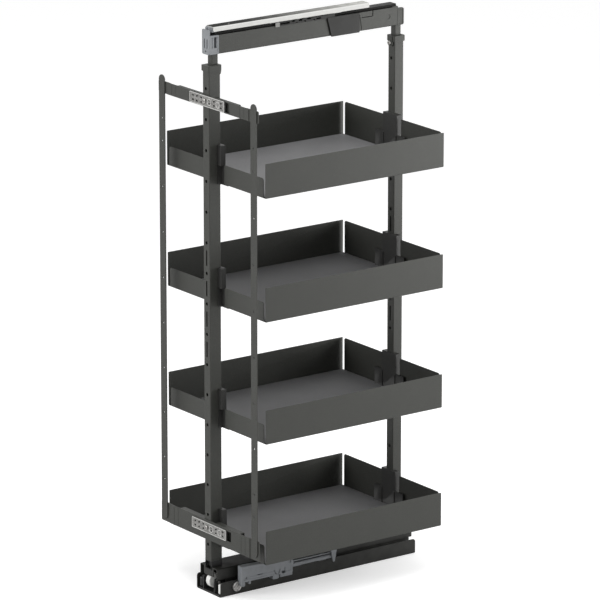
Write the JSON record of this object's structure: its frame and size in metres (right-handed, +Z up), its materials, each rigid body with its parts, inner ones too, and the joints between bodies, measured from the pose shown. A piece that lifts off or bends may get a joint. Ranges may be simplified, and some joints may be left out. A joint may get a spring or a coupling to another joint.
{
  "type": "pull out larder unit",
  "caption": "Pull out larder unit: sheet steel trays hung between telescopic posts on a floor runner and a ceiling runner, with a fixing frame for the door.",
  "frame": {"origin": "centre of the floor channel's underside, where the unit stands on the cabinet floor", "axes": "+X is the width, towards the side with the damper; -Y is the front, where the door goes, and the way the unit pulls out; +Z is up"},
  "size_m": [0.355, 0.508, 1.1923],
  "materials": {
    "anthracite": "fine textured powder coat",
    "dark_steel": "satin dark coat",
    "zinc": "bright zinc plated",
    "black_plastic": "moulded matt",
    "grey_plastic": "moulded satin",
    "nylon": "moulded satin",
    "mat": "matt non-slip"
  },
  "bodies": {
    "floor_runner": {"floor_channel": "dark_steel", "roller_bracket": "black_plastic", "front_axle": "zinc", "damper_housing": "grey_plastic", "damper_guide": "grey_plastic"},
    "frame": {"lower_beam": "dark_steel", "front_post": "anthracite", "rear_post": "anthracite", "front_foot": "black_plastic", "rear_foot": "black_plastic", "front_collar": "anthracite", "rear_collar": "anthracite", "holder_front_1": "dark_steel", "holder_front_2": "dark_steel", "holder_front_3": "dark_steel", "holder_front_4": "dark_steel", "holder_rear_1": "dark_steel", "holder_rear_2": "dark_steel", "holder_rear_3": "dark_steel", "holder_rear_4": "dark_steel", "adjusting_plate_top": "zinc", "adjusting_plate_bottom": "zinc", "plate_screw_top": "zinc", "plate_screw_bottom": "zinc"},
    "middle_runner": {"middle_runner": "dark_steel", "middle_axle": "zinc", "upper_axle": "zinc"},
    "front_roller": {"front_roller": "nylon"},
    "guide_roller_near": {"guide_roller_near": "nylon"},
    "guide_roller_far": {"guide_roller_far": "black_plastic"},
    "middle_roller_near": {"middle_roller_near": "nylon"},
    "middle_roller_far": {"middle_roller_far": "nylon"},
    "upper_roller_near": {"upper_roller_near": "nylon"},
    "upper_roller_far": {"upper_roller_far": "nylon"},
    "side_adjuster": {"side_adjuster": "zinc"},
    "damper_catch": {"damper_catch": "grey_plastic"},
    "front_clamp_screw": {"front_clamp_screw": "zinc"},
    "rear_clamp_screw": {"rear_clamp_screw": "zinc"},
    "tray_1": {"tray_1": "anthracite", "tray_mat_1": "mat"},
    "tray_2": {"tray_2": "anthracite", "tray_mat_2": "mat"},
    "tray_3": {"tray_3": "anthracite", "tray_mat_3": "mat"},
    "tray_4": {"tray_4": "anthracite", "tray_mat_4": "mat"},
    "door_frame": {"door_rail_top": "anthracite", "door_rail_bottom": "anthracite", "door_strip_far": "anthracite", "door_strip_near": "anthracite"},
    "upper_frame": {"front_inner_tube": "anthracite", "rear_inner_tube": "anthracite", "top_beam": "anthracite", "top_front_cap": "grey_plastic", "top_rear_cap": "anthracite", "top_cover": "dark_steel"},
    "top_middle_rail": {"top_middle_rail": "dark_steel"},
    "ball_cage": {"ball_cage": "nylon"},
    "ceiling_rail": {"ceiling_rail": "zinc", "ceiling_rail_stop": "grey_plastic"}
  },
  "joints": [
    {"name": "pull_out", "type": "slide", "parent": "floor_runner", "child": "frame", "axis": [0, -1, 0], "range_m": [0, 0.45]},
    {"name": "middle_slide", "type": "slide", "parent": "floor_runner", "child": "middle_runner", "axis": [0, -1, 0], "range_m": [0, 0.225]},
    {"name": "front_roller_spin", "type": "hinge", "parent": "floor_runner", "child": "front_roller", "pos_m": [0, -0.238, 0.026], "axis": [1, 0, 0], "continuous": true},
    {"name": "guide_roller_near_spin", "type": "hinge", "parent": "floor_runner", "child": "guide_roller_near", "pos_m": [0.0329, -0.241, 0.015], "axis": [0, 0, 1], "continuous": true},
    {"name": "guide_roller_far_spin", "type": "hinge", "parent": "floor_runner", "child": "guide_roller_far", "pos_m": [-0.0329, -0.241, 0.015], "axis": [0, 0, 1], "continuous": true},
    {"name": "middle_roller_near_spin", "type": "hinge", "parent": "middle_runner", "child": "middle_roller_near", "pos_m": [0.014, 0.228, 0.01595], "axis": [1, 0, 0], "continuous": true},
    {"name": "middle_roller_far_spin", "type": "hinge", "parent": "middle_runner", "child": "middle_roller_far", "pos_m": [-0.014, 0.228, 0.01595], "axis": [1, 0, 0], "continuous": true},
    {"name": "upper_roller_near_spin", "type": "hinge", "parent": "middle_runner", "child": "upper_roller_near", "pos_m": [0.014, -0.212, 0.0496], "axis": [1, 0, 0], "continuous": true},
    {"name": "upper_roller_far_spin", "type": "hinge", "parent": "middle_runner", "child": "upper_roller_far", "pos_m": [-0.014, -0.212, 0.0496], "axis": [1, 0, 0], "continuous": true},
    {"name": "side_adjust_turn", "type": "hinge", "parent": "floor_runner", "child": "side_adjuster", "pos_m": [0.043, -0.2105, 0.0184], "axis": [1, 0, 0], "range_deg": [-180, 180]},
    {"name": "damper_stroke", "type": "slide", "parent": "floor_runner", "child": "damper_catch", "axis": [0, -1, 0], "range_m": [0, 0.08]},
    {"name": "front_clamp_turn", "type": "hinge", "parent": "frame", "child": "front_clamp_screw", "pos_m": [0, -0.2235, 1.0982], "axis": [0, 1, 0], "range_deg": [0, 720]},
    {"name": "rear_clamp_turn", "type": "hinge", "parent": "frame", "child": "rear_clamp_screw", "pos_m": [0, 0.2135, 1.0982], "axis": [0, -1, 0], "range_deg": [0, 720]},
    {"name": "tray_1_lift", "type": "slide", "parent": "frame", "child": "tray_1", "axis": [0, 0, 1], "range_m": [0, 0.075]},
    {"name": "tray_2_lift", "type": "slide", "parent": "frame", "child": "tray_2", "axis": [0, 0, 1], "range_m": [0, 0.075]},
    {"name": "tray_3_lift", "type": "slide", "parent": "frame", "child": "tray_3", "axis": [0, 0, 1], "range_m": [0, 0.075]},
    {"name": "tray_4_lift", "type": "slide", "parent": "frame", "child": "tray_4", "axis": [0, 0, 1], "range_m": [0, 0.075]},
    {"name": "door_side_adjust", "type": "slide", "parent": "frame", "child": "door_frame", "axis": [-1, 0, 0], "range_m": [0, 0.016]},
    {"name": "height_adjust", "type": "slide", "parent": "frame", "child": "upper_frame", "axis": [0, 0, 1], "range_m": [0, 0.4]},
    {"name": "top_middle_slide", "type": "slide", "parent": "upper_frame", "child": "top_middle_rail", "axis": [0, 1, 0], "range_m": [0, 0.225]},
    {"name": "ball_cage_slide", "type": "slide", "parent": "upper_frame", "child": "ball_cage", "axis": [0, 1, 0], "range_m": [0, 0.3375]},
    {"name": "ceiling_rail_slide", "type": "slide", "parent": "upper_frame", "child": "ceiling_rail", "axis": [0, 1, 0], "range_m": [0, 0.45]}
  ],
  "couplings": [
    {"joint": "middle_slide", "follows": "pull_out", "ratio": 0.5},
    {"joint": "front_roller_spin", "follows": "pull_out", "rad_per_m": 33.333},
    {"joint": "guide_roller_near_spin", "follows": "pull_out", "rad_per_m": 75.758},
    {"joint": "guide_roller_far_spin", "follows": "pull_out", "rad_per_m": -75.758},
    {"joint": "middle_roller_near_spin", "follows": "pull_out", "rad_per_m": 36.63},
    {"joint": "middle_roller_far_spin", "follows": "pull_out", "rad_per_m": 36.63},
    {"joint": "upper_roller_near_spin", "follows": "pull_out", "rad_per_m": 83.333},
    {"joint": "upper_roller_far_spin", "follows": "pull_out", "rad_per_m": 83.333},
    {"joint": "top_middle_slide", "follows": "pull_out", "ratio": 0.5},
    {"joint": "ball_cage_slide", "follows": "pull_out", "ratio": 0.75},
    {"joint": "ceiling_rail_slide", "follows": "pull_out", "ratio": 1}
  ]
}
